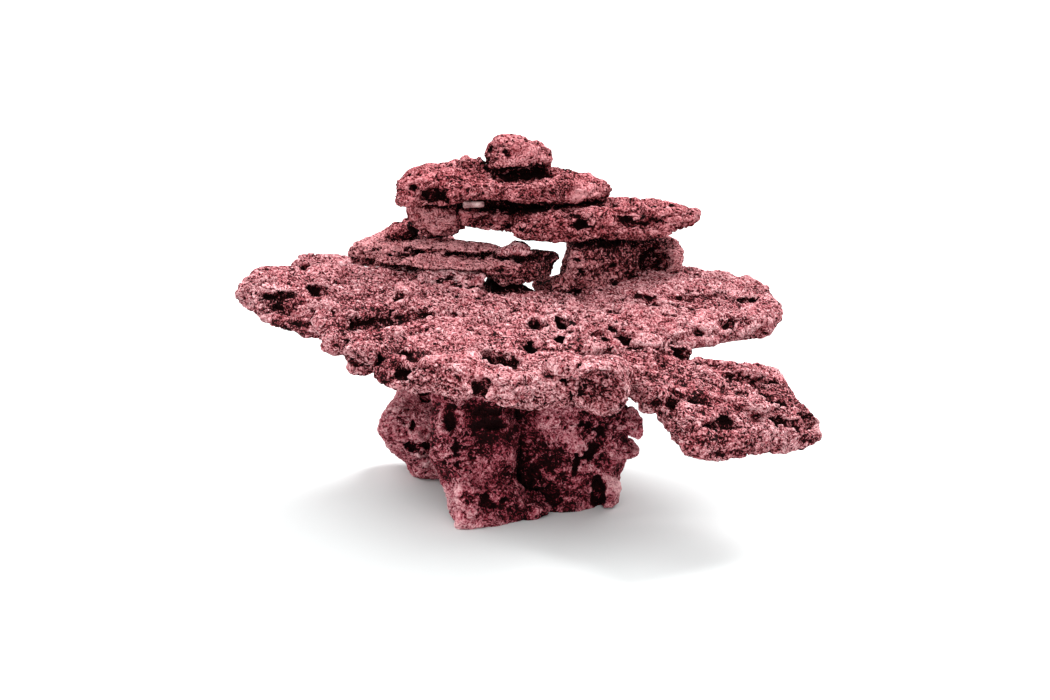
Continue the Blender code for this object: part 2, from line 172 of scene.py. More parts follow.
def geometry_tree(name, *inputs):
    """A node tree for a modifier, with its named inputs, and a wire for each of them."""
    tree = bpy.data.node_groups.new(name, "GeometryNodeTree")
    tree.interface.new_socket("Geometry", in_out="INPUT", socket_type="NodeSocketGeometry")
    for label, kind, value in inputs:
        socket = tree.interface.new_socket(label, in_out="INPUT", socket_type="NodeSocket" + kind)
        if value is not None:
            socket.default_value = value
    tree.interface.new_socket("Geometry", in_out="OUTPUT", socket_type="NodeSocketGeometry")
    start = tree.nodes.new("NodeGroupInput")
    return tree, {socket.name: Wire(tree, socket) for socket in start.outputs if socket.name}


def tree_end(tree, geometry):
    tree.links.new(geometry.socket, tree.nodes.new("NodeGroupOutput").inputs[0])


def run_tree(obj, tree, **values):
    """Puts the tree on an object. An input is named by its name with underscores."""
    modifier = obj.modifiers.new(tree.name, "NODES")
    modifier.node_group = tree
    for item in tree.interface.items_tree:
        name = item.name.replace(" ", "_")
        if item.in_out == "INPUT" and name in values:
            modifier[item.identifier] = values[name]


# How far one step of the seed moves the noise, in metres.
SEED_STEP = 0.37


def pocks_tree():
    """Ragged balls sunk in a stone's skin, gathered in patches, beside the stone's own hollows."""
    tree, given = geometry_tree(
        "pocks",
        ("Hollows", "Object", None),
        ("Pocks per square metre", "Float", 3000.0),
        ("Smallest", "Float", 0.0015),
        ("Largest", "Float", 0.0055),
        ("Raggedness", "Float", 0.0110),
        ("Seed", "Int", 1),
    )
    new = Wire(tree)
    here = new.node("GeometryNodeInputPosition")
    patch = here.vector("ADD", given["Seed"] * SEED_STEP).noise(0.035, 1.0).ramp(0.42, 0.62)
    spread = new.node(
        "GeometryNodeDistributePointsOnFaces",
        Mesh=given["Geometry"],
        Density=given["Pocks per square metre"] * patch,
        Seed=given["Seed"],
    )
    chance = new.node("FunctionNodeRandomValue", out=1, s2=0.0, s3=1.0, Seed=given["Seed"])
    radius = (given["Largest"] - given["Smallest"]) * chance.maths("POWER", 2.5)
    stretch = new.node(
        "FunctionNodeRandomValue",
        {"data_type": "FLOAT_VECTOR"},
        s0=(0.8, 0.6, 0.9),
        s1=(1.7, 1.1, 1.5),
        Seed=given["Seed"] + 7,
    )
    balls = new.node(
        "GeometryNodeInstanceOnPoints",
        Points=spread,
        Instance=new.node("GeometryNodeMeshIcoSphere", Radius=1.0, Subdivisions=3),
        Rotation=spread.output("Rotation"),
        Scale=stretch.scaled(radius + given["Smallest"]),
    )
    hollows = new.node("GeometryNodeObjectInfo", out="Geometry", Object=given["Hollows"])
    both = new.node("GeometryNodeRealizeInstances", Geometry=balls).joined(hollows)
    ragged = here.noise(0.010, 3.0, 0.65, "Color").vector("SUBTRACT", (0.5, 0.5, 0.5))
    offset = ragged.scaled(given["Raggedness"] * 2)
    tree_end(tree, new.node("GeometryNodeSetPosition", Geometry=both, Offset=offset))
    return tree


# The rays that look for shade: how many, the turn in radians from one to the next that spreads
# them evenly over a ball, and how far off the skin they start, in metres.
SHADE_RAYS = 18
SPIRAL_TURN = 2.39996
CLEAR_OF_SKIN = 0.0008


def crust_tree():
    """Raises the crust of a stone in layers, and marks how high and how shaded each point is."""
    tree, given = geometry_tree(
        "reef_crust",
        ("Loose crumb points", "Float", 1200.0),
        ("Lump size", "Float", 0.022),
        ("Lump height", "Float", 0.0022),
        ("Fold size", "Float", 0.015),
        ("Fold height", "Float", 0.0024),
        ("Fold heading", "Float", 0.35),
        ("Knob size", "Float", 0.0085),
        ("Knob height", "Float", 0.0014),
        ("Leaf thickness", "Float", 0.007),
        ("Leaf depth", "Float", 0.0006),
        ("Crumb size", "Float", 0.0034),
        ("Crumb height", "Float", 0.0011),
        ("Grain size", "Float", 0.0016),
        ("Grain height", "Float", 0.0005),
        ("Pit size", "Float", 0.0045),
        ("Pit share", "Float", 0.22),
        ("Pit depth", "Float", 0.0018),
        ("Ravine size", "Float", 0.018),
        ("Ravine depth", "Float", 0.0028),
        ("Whole stone", "Object", None),
        ("Neighbours", "Object", None),
        ("Shade reach", "Float", 0.022),
        ("Seed", "Int", 1),
        ("Crust", "Material", None),
    )
    new = Wire(tree)
    here = new.node("GeometryNodeInputPosition")
    island = new.node("GeometryNodeInputMeshIsland", out="Island Index")
    points = new.node("GeometryNodeAccumulateField", out="Total", Value=1.0, Group_ID=island)
    one_stone = new.node(
        "GeometryNodeDeleteGeometry",
        Geometry=given["Geometry"],
        Selection=points.maths("LESS_THAN", given["Loose crumb points"]),
    )
    place = here.vector("ADD", given["Seed"] * SEED_STEP)
    normal = new.node("GeometryNodeInputNormal")
    flat = abs(new.node("ShaderNodeSeparateXYZ", out="Z", Vector=normal))
    height = new.node("ShaderNodeSeparateXYZ", out="Z", Vector=here)

    def raised(geometry, rise):
        return new.node("GeometryNodeSetPosition", Geometry=geometry, Offset=normal.scaled(rise))

    lump = (place.vector("DIVIDE", given["Lump size"]).noise(1.0, 2.0) - 0.5) * 2
    turned = place.node(
        "ShaderNodeVectorRotate",
        {"rotation_type": "Z_AXIS"},
        Vector=place,
        Angle=given["Fold heading"],
    )
    folds = turned.vector("MULTIPLY", (0.45, 1.0, 1.3)).vector("DIVIDE", given["Fold size"])
    fold = 0.6 - abs(folds.noise(1.0, 2.0, 0.5) - 0.5) * 5
    cells = place.vector("DIVIDE", given["Knob size"])
    knob = 0.5 - cells.node(
        "ShaderNodeTexVoronoi", {"feature": "SMOOTH_F1"}, Vector=cells, Scale=1.0, Smoothness=0.35
    )
    knobby = place.noise(0.030, 1.0).ramp(0.36, 0.56) * 0.7 + 0.3
    warp = place.noise(0.020, 2.0) * 2.2
    layer = (height / given["Leaf thickness"] + warp).maths("FRACT")
    leaf = (layer.ramp(0.0, 0.25) - layer.ramp(0.8, 1.0)) * (1 - flat)
    channels = place.vector("MULTIPLY", (1.0, 1.0, 1.7)).vector("DIVIDE", given["Ravine size"])
    channel = 1 - abs(channels.noise(1.0, 3.0, 0.6) - 0.5).ramp(0.0, 0.060)
    ravine = channel * place.noise(0.045, 1.0).ramp(0.45, 0.60)
    formed = raised(
        one_stone,
        lump * given["Lump height"]
        + fold * given["Fold height"]
        + knob * knobby * given["Knob height"] * 2
        + leaf * given["Leaf depth"]
        - ravine * given["Ravine depth"],
    )
    crumbs = place.vector("DIVIDE", given["Crumb size"])
    crumb = (crumbs.noise(1.0, 3.0, 0.62) - 0.5) * 2
    grains = place.vector("DIVIDE", given["Grain size"])
    grain = (grains.noise(1.0, 2.0, 0.6) - 0.5) * 2
    holes = place.vector("DIVIDE", given["Pit size"])
    hole = holes.node("ShaderNodeTexVoronoi", Vector=holes, Scale=1.0)
    lot = new.node("FunctionNodeSeparateColor", Color=hole.output("Color"))
    open_pit = lot.maths("LESS_THAN", given["Pit share"]) * (1 - hole.ramp(0.12, 0.46))
    crusted = raised(
        formed,
        crumb * given["Crumb height"]
        + grain * given["Grain height"]
        - open_pit * given["Pit depth"],
    )
    standing = new.node(
        "GeometryNodeSetPosition",
        Geometry=crusted,
        Position=here.vector("MAXIMUM", (-9.0, -9.0, 0.0)),
    )

    def stored(geometry, name, value):
        return new.node(
            "GeometryNodeStoreNamedAttribute", Geometry=geometry, Name=name, Value=value
        )

    def relief(rounds, reach):
        """How far a point stands out of the skin around it, in units of reach."""
        settings = {"data_type": "FLOAT_VECTOR"}
        around = new.node("GeometryNodeBlurAttribute", settings, Value=here, Iterations=rounds)
        return here.vector("SUBTRACT", around).vector("DOT_PRODUCT", normal, out="Value") / reach

    def distance(to):
        target = new.node("GeometryNodeObjectInfo", out="Geometry", Object=given[to])
        settings = {"target_element": "FACES"}
        return new.node("GeometryNodeProximity", settings, "Distance", Geometry=target)

    # These marks drive the crust's painted light and shade: how far a point stands out, how far it
    # lies below the whole stone, how near another stone and how much stone its rays meet.
    marked = stored(standing, "fine", relief(4, 0.0005))
    marked = stored(marked, "broad", relief(40, 0.0020))
    marked = stored(marked, "sunk", distance("Whole stone").ramp(0.0034, 0.0085))
    marked = stored(marked, "seam", 1 - distance("Neighbours").ramp(0.0008, 0.0042))
    around = new.node("GeometryNodeObjectInfo", out="Geometry", Object=given["Neighbours"])
    walls = standing.joined(around)
    blocked = 0
    open_share = 0
    for step in range(SHADE_RAYS):
        rise = 1 - (2 * step + 1) / SHADE_RAYS
        turn = step * SPIRAL_TURN
        reach = math.sqrt(1 - rise * rise)
        direction = (reach * math.cos(turn), reach * math.sin(turn), rise)
        share = normal.vector("DOT_PRODUCT", direction, out="Value").maths("MAXIMUM", 0.0)
        hit = new.node(
            "GeometryNodeRaycast",
            out="Is Hit",
            Target_Geometry=walls,
            Source_Position=here.vector("ADD", normal.scaled(CLEAR_OF_SKIN)),
            Ray_Direction=direction,
            Ray_Length=given["Shade reach"],
        )
        blocked = share * hit + blocked
        open_share = share + open_share
    hidden = new.node(
        "GeometryNodeBlurAttribute",
        {"data_type": "FLOAT"},
        Value=blocked / open_share,
        Iterations=2,
    )
    marked = stored(marked, "hidden", hidden)
    smooth = new.node("GeometryNodeSetShadeSmooth", Geometry=marked)
    real = new.node("GeometryNodeRealizeInstances", Geometry=smooth)
    tree_end(tree, new.node("GeometryNodeSetMaterial", Geometry=real, Material=given["Crust"]))
    return tree


POCKS = pocks_tree()
CRUST = crust_tree()
# Corners of a solid that lie closer than this are one, in metres.
MERGE_DISTANCE = 0.00001


def egg_mesh(name, eggs):
    """Ellipsoids in one mesh, each by its centre, half-axes and heading, in mm and degrees."""
    bm = bmesh.new()
    for centre, radii, *heading in eggs:
        turn = Matrix.Rotation(math.radians(heading[0] if heading else 0), 4, "Z")
        size = Matrix.Diagonal([radius / 1000 for radius in radii]).to_4x4()
        place = Matrix.Translation(Vector(centre) / 1000) @ turn @ size
        bmesh.ops.create_icosphere(bm, subdivisions=3, radius=1, matrix=place)
    mesh = bpy.data.meshes.new(name)
    bm.to_mesh(mesh)
    bm.free()
    return mesh


def crack(across, depth, *points):
    """The eggs of a crack along a path of points in millimetres."""
    eggs = []
    for start, end in zip(points, points[1:]):
        run = Vector(end) - Vector(start)
        middle = (Vector(end) + Vector(start)) / 2
        heading = math.degrees(math.atan2(run.y, run.x))
        eggs.append((middle, (run.length * 0.78, across, depth), heading))
    return eggs


def remeshed(obj, cell):
    modifier = obj.modifiers.new("cells", "REMESH")
    modifier.mode = "VOXEL"
    modifier.voxel_size = cell


def linked(name, mesh):
    obj = bpy.data.objects.new(name, mesh)
    bpy.context.collection.objects.link(obj)
    return obj


def dressed(node, crust, slot, cell=0.0013, lumps=(), hollows=(), pocks=None, seed=1, **layers):
    """The weathered stone that stands for a solid: lumps on, holes out and the crust raised."""
    bm = bmesh.new()
    bm.from_mesh(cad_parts[node].data)
    bmesh.ops.remove_doubles(bm, verts=bm.verts, dist=MERGE_DISTANCE)
    skin = bpy.data.meshes.new(node + "_skin")
    bm.to_mesh(skin)
    bm.from_mesh(egg_mesh(node + "_lumps", lumps))
    rough = bpy.data.meshes.new(node + "_rough")
    bm.to_mesh(rough)
    bm.clear()
    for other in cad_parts:
        if other != node:
            bm.from_mesh(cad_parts[other].data)
    around = bpy.data.meshes.new(node + "_neighbours")
    bm.to_mesh(around)
    bm.free()
    neighbours = linked(node + "_neighbours", around)
    whole = linked(node + "_whole", rough)
    own_hollows = linked(node + "_hollows", egg_mesh(node + "_hollows", hollows))
    tool = linked(node + "_pocks", skin)
    run_tree(tool, POCKS, Hollows=own_hollows, Seed=seed, **(pocks or {}))
    remeshed(tool, cell)
    stone = linked(node + "_form", rough)
    remeshed(stone, cell)
    cut = stone.modifiers.new("pocks", "BOOLEAN")
    cut.operation = "DIFFERENCE"
    cut.solver = "MANIFOLD"
    cut.object = tool
    remeshed(stone, cell)
    run_tree(
        stone, CRUST, Seed=seed, Crust=crust, Whole_stone=whole, Neighbours=neighbours, **layers
    )
    bpy.context.view_layer.update()
    graph = bpy.context.evaluated_depsgraph_get()
    mesh = bpy.data.meshes.new_from_object(stone.evaluated_get(graph))
    for scratch in (stone, tool, own_hollows, neighbours, whole):
        bpy.data.objects.remove(scratch)
    piece = linked(node + "_stone", mesh)
    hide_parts(node)
    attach(piece, "root")


def screen(red, green, blue):
    """A colour as a screen shows it, 0 to 255, as the linear numbers that a shader takes."""
    return tuple(((value / 255 + 0.055) / 1.055) ** 2.4 for value in (red, green, blue))


PALETTE_STOPS = (0.00, 0.12, 0.19, 0.26, 0.34, 0.45, 0.60, 0.80, 1.00)


def palette(*colours):
    """The stops of a crust's ramp, from the black of the shade painted in its hollows to the pink
    of its crests.
    """
    return [(stop, screen(*colour)) for stop, colour in zip(PALETTE_STOPS, colours)]


REEF_COLOURS = palette(
    (26, 2, 3), (74, 13, 17), (104, 34, 41), (132, 55, 62), (158, 79, 86),
    (180, 105, 111), (200, 131, 136), (221, 157, 162), (243, 189, 192),
)
# The tone at the black end of a ramp, the steps from there to its pale end, the share of a step
# that the bright lamps call for less, and where a spot fades, in metres per millimetre of radius.
TONE_LOW = -2.0
TONE_SPAN = 4.5
LAMP_EXCESS = 0.25
SPOT_CORE = 0.0004
SPOT_EDGE = 0.0012


def crust_material(name, lift=0.0, grit=1.0, patchiness=4.0, spots=(), colours=REEF_COLOURS):
    """A matt crust, its own mottle, grain and streaks mixed with painted light and shade: black as
    painted shade in its hollows, pits and joints and under stone close by, through maroon and rose
    to pale pink as painted light on its crests and upward faces.

    A tone of one step is about a fifth of the palette. A spot is a centre and a radius in
    millimetres and how many steps lighter the crust is there; spots paint patches of light and
    shade as well as the stone's own pale and dark patches, and a lift moves the whole tone.
    """
    material = bpy.data.materials.new(name)
    material.use_nodes = True
    tree = material.node_tree
    shader = tree.nodes["Principled BSDF"]
    new = Wire(tree)
    place = new.node("ShaderNodeTexCoord", out="Object")
    fine, broad, sunk, seam, hidden = (
        new.node("ShaderNodeAttribute", {"attribute_name": mark}, "Fac")
        for mark in ("fine", "broad", "sunk", "seam", "hidden")
    )
    facing = new.node("ShaderNodeNewGeometry", out="Normal")
    painted_top_light = new.node("ShaderNodeSeparateXYZ", out="Z", Vector=facing)
    patch = place.noise(0.032, 2.0, 0.5)
    mottle = place.noise(0.009, 4.0, 0.65)
    grain = place.vector("MULTIPLY", (1.0, 0.45, 1.0)).noise(0.0017, 1.0, 0.6)
    swirl = place.noise(0.011, 2.0, 0.5, "Color").vector("SUBTRACT", (0.5, 0.5, 0.5))
    swept = place.vector("ADD", swirl.scaled(0.016))
    hatch = swept.node(
        "ShaderNodeVectorRotate", {"rotation_type": "Z_AXIS"}, Vector=swept, Angle=-0.6
    )
    streak = hatch.vector("MULTIPLY", (1.0, 0.32, 0.8)).noise(0.0015, 1.0, 0.6)
    furrow = hatch.vector("MULTIPLY", (1.0, 0.40, 0.8)).noise(0.0040, 2.0, 0.6)
    line = 1 - abs(furrow - 0.5).ramp(0.0, 0.055)
    rugged = (place.noise(0.026, 1.0).ramp(0.36, 0.62) * 0.35 + 0.88) * grit
    # The tone is the stone's own patches, mottle, grain and streaks, with painted light and shade:
    # lighter on ridges and upward faces, darker in hollows, in pits below the skin, next to other
    # stones and where rays meet stone close by.
    tone = (
        fine * 0.30
        + broad * 0.75
        + (patch - 0.5) * patchiness
        + (mottle - 0.5) * (2.6 + 1.8 * grit)
        + (grain - 0.5) * 5.0 * rugged
        + (streak - 0.5) * 9.4 * rugged
        - line * rugged * 1.3
        + painted_top_light * 0.30
        - hidden.ramp(0.24, 0.68) * 1.8
        - hidden.ramp(0.50, 0.85) * 1.6
        - sunk * 1.0
        - seam * 0.5
        + (lift - LAMP_EXCESS)
    )
    for centre, radius, lighter in spots:
        away = swept.vector("DISTANCE", [part / 1000 for part in centre], out="Value")
        tone = (1 - away.ramp(radius * SPOT_CORE, radius * SPOT_EDGE)) * lighter + tone
    place_on_ramp = (tone - TONE_LOW) / TONE_SPAN
    colour = tone.node("ShaderNodeValToRGB", {"stops": colours}, Fac=place_on_ramp)
    tree.links.new(colour.socket, shader.inputs["Base Color"])
    tree.links.new((0.98 - mottle * 0.12).socket, shader.inputs["Roughness"])
    tiny = place.noise(0.0010, 2.0, 0.7)
    rough = (grain * 0.9 + streak + tiny * 0.3 - line * 0.30) * rugged
    bump = new.node("ShaderNodeBump", Strength=1.0, Distance=0.0036, Height=rough)
    tree.links.new(bump.socket, shader.inputs["Normal"])
    shader.inputs["Specular IOR Level"].default_value = 0.08
    return material


# The main shelf's spots paint shade in its valleys, trench and front hollows and light on the rims
# that the light catches, beside the stone's own dark and pale patches.
SHELF_CRUST = crust_material(
    "shelf_crust",
    lift=-0.05,
    spots=[
        ((-52, -142, 158), 7, 1.6),
        ((-214, -6, 185), 18, -1.2),
        ((-176, 8, 188), 16, -1.2),
        ((-204, -42, 175), 15, -1.6),
        ((-111, 26, 193), 8, 1.4),
        ((-182, -18, 187), 9, 0.7),
        ((-160, -38, 184), 9, 0.7),
        ((-136, -34, 182), 15, -1.2),
        ((-112, -30, 180), 14, -1.0),
        ((-112, -118, 156), 22, -1.2),
        ((-150, -84, 168), 18, -0.4),
        ((24, -140, 156), 24, 0.6),
        ((-12, -146, 152), 24, 0.5),
        ((39, -152, 164), 5, -1.4),
        ((-216, -30, 169), 15, -2.2),
        ((-194, -46, 173), 12, -1.5),
        ((-124, -76, 173), 14, -1.5),
        ((-105, -94, 169), 12, -0.6),
        ((-89, -107, 163), 14, -1.4),
        ((-220, 10, 187), 12, 2.3),
        ((-103, -48, 176), 11, -1.0),
        ((-105, -25, 169), 9, -1.2),
        ((-37, -144, 156), 14, 0.8),
        ((-12, -157, 137), 12, 0.8),
        ((36, -149, 152), 12, 0.7),
        ((57, -71, 163), 12, -1.4),
        ((2, -8, 176), 8, -0.9),
        ((20, -157, 149), 10, 1.0),
        ((-126, -112, 153), 10, 0.9),
        ((-83, -59, 174), 10, -0.8),
        ((-172, -82, 161), 10, -0.8),
        ((-78, 6, 185), 12, 0.8),
    ],
)

dressed(
    "main_shelf", SHELF_CRUST, "rose_stone", cell=0.0015, seed=21,
    lumps=[
        ((-52, -138, 156), (17, 10, 8), 0),
        ((-172, -34, 186), (17, 8, 6), -22),
        ((-150, -50, 181), (17, 9, 6), -20),
        ((-103, 12, 188), (14, 13, 9)),
        ((-130, -104, 164), (14, 11, 9)),
        ((-72, -128, 158), (12, 12, 9)),
        ((4, -148, 152), (22, 9, 6), 4),
        ((42, -132, 161), (17, 22, 9), -10),
        ((-200, 44, 192), (30, 18, 6), 10),
        ((16, 50, 171), (44, 18, 7)),
        ((54, 8, 168), (12, 16, 5)),
        ((56, -28, 159), (13, 13, 6)),
        ((52, -62, 160), (15, 12, 6)),
        ((-134, -96, 163), (16, 12, 7)),
        ((-112, -104, 153), (16, 12, 6)),
        ((-190, -44, 173), (24, 9, 6), -32),
        ((-134, -94, 149), (14, 12, 7)),
        ((-98, -124, 144), (16, 13, 6)),
    ],
    hollows=[
        ((17, -30, 168), (6.5, 10, 14)),
        ((41, -22, 168), (10, 8, 13), -25),
        ((39, -61, 163), (6, 7, 10)),
        ((11, -80, 159), (6, 10, 10), 20),
        ((-16, -106, 157), (18, 11, 14), -10),
        ((-33, -148, 144), (11, 11, 10), 25),
        ((-98, -130, 151), (11, 10, 5.5), 20),
        ((-97, -106, 163), (6, 12, 9), 30),
        ((-85, -117, 163), (6, 5, 6)),
        ((-118, -112, 158), (6, 8, 7)),
        ((-164, 56, 199), (9, 7, 8)),
        ((-189, 21, 189), (11, 9, 11), -20),
        ((-197, -9, 186), (7, 6, 7)),
        ((-172, 2, 190), (10, 5, 5), -15),
        ((-109, -2, 190), (5.5, 6, 8)),
        ((-94, 13, 193), (4.5, 5, 7)),
        ((-4, -4, 177), (7, 6, 7)),
        ((-60, 16, 186), (6, 4, 4)),
        ((-42, -58, 170), (5, 4, 4)),
        *crack(13, 5, (-226, 2, 189), (-206, -8, 188), (-184, -16, 189)),
        *crack(8, 4.5, (-224, -22, 178), (-205, -42, 176), (-187, -56, 173)),
        ((-31, 48, 187), (6, 50, 8)),
        *crack(10, 13, (-147, -56, 175), (-129, -43, 177), (-108, -32, 178), (-84, -23, 180)),
        *crack(5, 6, (-84, -23, 180), (-66, -20, 179), (-52, -22, 178)),
        *crack(12, 6, (-160, 92, 200), (-136, 82, 199), (-108, 70, 197)),
    ],
)

# The two right-hand shelves: plates of the same stone, the upper one level and grainy, the lower
# one thick, folded and sloping, both bonded to the right leg and to the edge of the main shelf.
# Its spots lighten the middle prop, the chock and patches of the right upper shelf as painted
# light.
ROSE_CRUST = crust_material(
    "rose_crust",
    lift=0.1,
    spots=[
        ((-62, 58, 197), 22, 1.8),
        ((149, 48, 183), 14, 1.4),
        ((146, 100, 186), 10, 1.4),
        ((197, -8, 147), 14, 1.4),
        ((84, -38, 163), 12, 0.8),
        ((147, -35, 156), 12, 0.7),
        ((-6, 90, 218), 14, 2.4),
    ],
)
dressed(
    "right_upper_shelf", ROSE_CRUST, "rose_stone", cell=0.0014, seed=22,
    lumps=[
        ((160, 60, 180), (50, 26, 5), 10),
        ((50, 32, 171), (14, 14, 5)),
        ((58, -10, 163), (13, 20, 6), 20),
        ((150, -22, 152), (40, 14, 7), 6),
        ((62, -56, 157), (17, 20, 8)),
        ((84, -46, 152), (18, 12, 6)),
        ((116, -42, 156), (16, 13, 8), 20),
    ],
    hollows=[
        ((54, 68, 176), (9, 10, 9)),
        ((96, -44, 155), (6, 9, 9), 35),
        ((195, -12, 164), (8, 6, 6)),
        ((217, 41, 174), (9, 8, 6)),
        ((164, -27, 163), (8, 6, 6)),
        ((180, -22, 161), (6, 5, 6)),
        ((90, 14, 172), (8, 5, 6)),
        ((100, 39, 175), (10, 5, 5)),
        *crack(4, 6, (104, 33, 175), (122, 30, 176), (142, 22, 174), (162, 15, 173)),
        *crack(3.5, 5, (124, 6, 172), (140, 2, 171), (158, -6, 169)),
    ],
)

# Its spots paint shade in the hollows at its front and at its right end, and light on patches of
# its top and front edge.
SLOPE_CRUST = crust_material(
    "slope_crust",
    lift=-0.4,
    spots=[
        ((258, -104, 118), 16, -0.8),
        ((252, -116, 99), 14, 0.9),
        ((234, -138, 88), 16, 1.3),
        ((206, -132, 114), 14, 1.4),
        ((233, -50, 132), 16, 1.4),
        ((138, -153, 124), 12, -1.0),
        ((160, -148, 126), 9, -0.8),
        ((119, -118, 132), 14, -0.7),
        ((168, -59, 143), 14, -0.7),
        ((222, -80, 134), 26, -0.4),
        ((212, -150, 108), 22, 0.5),
        ((150, -142, 122), 14, 0.8),
        ((156, -124, 130), 15, -1.7),
        ((136, -128, 127), 8, -1.5),
        ((163, -163, 117), 8, -1.3),
        ((178, -155, 118), 8, -1.3),
    ],
)
dressed(
    "right_lower_shelf", SLOPE_CRUST, "rose_stone", cell=0.0014, seed=23,
    lumps=[
        ((150, -134, 122), (22, 10, 8), 15),
        ((196, -70, 136), (26, 8, 6), -14),
        ((196, -120, 122), (24, 12, 7), -20),
        ((144, -50, 149), (14, 12, 6)),
        ((114, -114, 119), (9, 8, 7)),
    ],
    hollows=[
        ((156, -130, 131), (20, 12, 14), -10),
        ((134, -131, 126), (8, 9, 11)),
        ((120, -122, 125), (6, 8, 9)),
        ((163, -164, 116), (9, 8, 10)),
        ((177, -156, 117), (8, 8, 10)),
        ((150, -57, 148), (19, 9, 8), -20),
        ((130, -87, 150), (12, 6, 7), -15),
        ((183, -65, 141), (5, 6, 7)),
        ((169, -94, 136), (8, 5, 6)),
        ((230, -118, 118), (8, 6, 6)),
        *crack(6, 8, (212, -88, 130), (222, -100, 125), (238, -112, 118)),
        *crack(7, 8, (214, -128, 113), (236, -134, 106), (252, -126, 104)),
        ((252, -118, 108), (9, 9, 8)),
    ],
)

# The front cobble: a rounded stone wedged at the front end of the main shelf, of a denser
# rock, with one dished face that an older break left. Its crust is painted darker in the dish as
# painted shade and pale on the rim around it as painted light.
COBBLE_CRUST = crust_material(
    "cobble_crust",
    lift=0.3,
    patchiness=2.0,
    spots=[
        ((64, -146, 162), 14, -0.3),
        ((73, -147, 140), 15, 0.9),
        ((60, -150, 171), 7, 1.5),
        ((74, -150, 169), 7, 1.5),
        ((88, -152, 166), 7, 1.2),
        ((95, -152, 150), 6, 1.2),
        ((66, -158, 124), 7, 1.0),
        ((84, -156, 125), 7, 1.0),
    ],
)
dressed(
    "front_cobble", COBBLE_CRUST, "rose_stone", cell=0.0010, seed=24,
    lumps=[((78, -128, 158), (18, 18, 10)), ((52, -128, 156), (12, 20, 11))],
    hollows=[((71, -170, 147), (26, 28, 21)), ((90, -150, 131), (5, 10, 5))],
    pocks={"Raggedness": 0.0035, "Pocks_per_square_metre": 0.0},
    Lump_height=0.0010, Fold_height=0.0006, Knob_height=0.0004, Crumb_height=0.0008,
)

# The left fin: a thin splinter of the same stone, bonded upright behind the back edge of the main
# shelf.
dressed("left_fin", ROSE_CRUST, "rose_stone", cell=0.0011, seed=25)

# The props: a pale squared block of reef stone and one behind it whose crust is painted dark as
# the shade it stands in, which stand bonded on the main shelf and carry the middle shelf.
dressed(
    "middle_prop", ROSE_CRUST, "rose_stone", cell=0.0012, seed=31,
    hollows=[((-30, 58, 185), (5, 36, 9))],
    Leaf_depth=0.0015,
)
# The rear prop's crust: the same stone painted much darker as painted shade.
SHADE_CRUST = crust_material("shade_crust", lift=-1.6)
dressed(
    "rear_prop", SHADE_CRUST, "maroon_stone", cell=0.0014, seed=32,
    lumps=[((-8, 78, 173), (18, 12, 9)), ((6, 78, 168), (12, 10, 7))],
    hollows=[((19, 84, 184), (25, 36, 8.5))],
)

# The middle shelf: a slab of redder stone in two leaves with a crack between them, bonded on its
# props, and the small chock that fills the joint at its right end. Its crust is painted lighter
# overall as painted light where the crown shades it, and the crack and the right end under the
# right crown read black partly through their depth and partly through painted shade.
STACK_COLOURS = palette(
    (26, 2, 3), (74, 12, 16), (104, 30, 36), (132, 50, 56), (158, 72, 78),
    (180, 97, 103), (200, 119, 124), (222, 142, 147), (241, 168, 172),
)
MIDDLE_CRUST = crust_material(
    "middle_crust",
    colours=STACK_COLOURS,
    lift=1.5,
    grit=1.5,
    spots=[
        ((-110, 98, 215), 18, 1.3),
        ((-60, 84, 216), 24, 1.1),
        ((-132, 132, 213), 14, 0.9),
        ((28, 80, 208), 22, -3.6),
        ((-92, 98, 206), 7, -2.4),
        ((-64, 92, 206), 7, -2.6),
        ((-36, 84, 205), 8, -3.0),
        ((-14, 85, 204), 9, -4.2),
        ((4, 80, 203), 8, -3.2),
        ((12, 56, 195), 20, -2.5),
        ((34, 62, 195), 14, -2.5),
        ((-14, 56, 194), 12, -1.4),
    ],
)
dressed(
    "middle_shelf", MIDDLE_CRUST, "rose_stone", cell=0.0012, seed=33,
    lumps=[
        ((-4, 68, 196), (32, 14, 5.5)),
        ((-110, 87, 203.5), (28, 24, 4), -8),
        ((-78, 80, 202), (32, 26, 4.5), -6),
        ((-44, 74, 201), (30, 22, 4.5), -6),
        ((-78, 100, 214.5), (34, 20, 4), -6),
        ((-46, 94, 213), (30, 18, 4), -6),
    ],
    hollows=[
        *crack(24, 2.0, (-106, 100, 209.5), (-88, 96, 209.5), (-70, 92, 209), (-50, 88, 208.5)),
        ((-40, 84, 208.5), (18, 26, 2.4)),
        ((-24, 76, 208), (15, 28, 2.8)),
        ((-8, 70, 206.4), (17, 26, 3.6)),
        ((12, 66, 206), (18, 28, 4.8)),
        ((31, 68, 206.5), (16, 30, 5)),
        *crack(12, 5, (-160, 92, 199), (-136, 84, 198), (-108, 72, 196)),
        ((16, 60, 180), (34, 22, 5.5)),
    ],
    Leaf_thickness=0.005, Leaf_depth=0.0010, Fold_height=0.0008, Knob_height=0.0008,
    Lump_height=0.0012,
)
dressed(
    "small_chock", ROSE_CRUST, "rose_stone", cell=0.0010, seed=34,
    lumps=[((0, 84, 212), (16, 12, 7)), ((-10, 82, 211), (12, 10, 5))],
    hollows=[((0, 84, 229), (34, 26, 9.5)), ((16, 84, 214), (5, 20, 3))],
    Lump_height=0.0012, Knob_height=0.0006, Fold_height=0.0010,
)

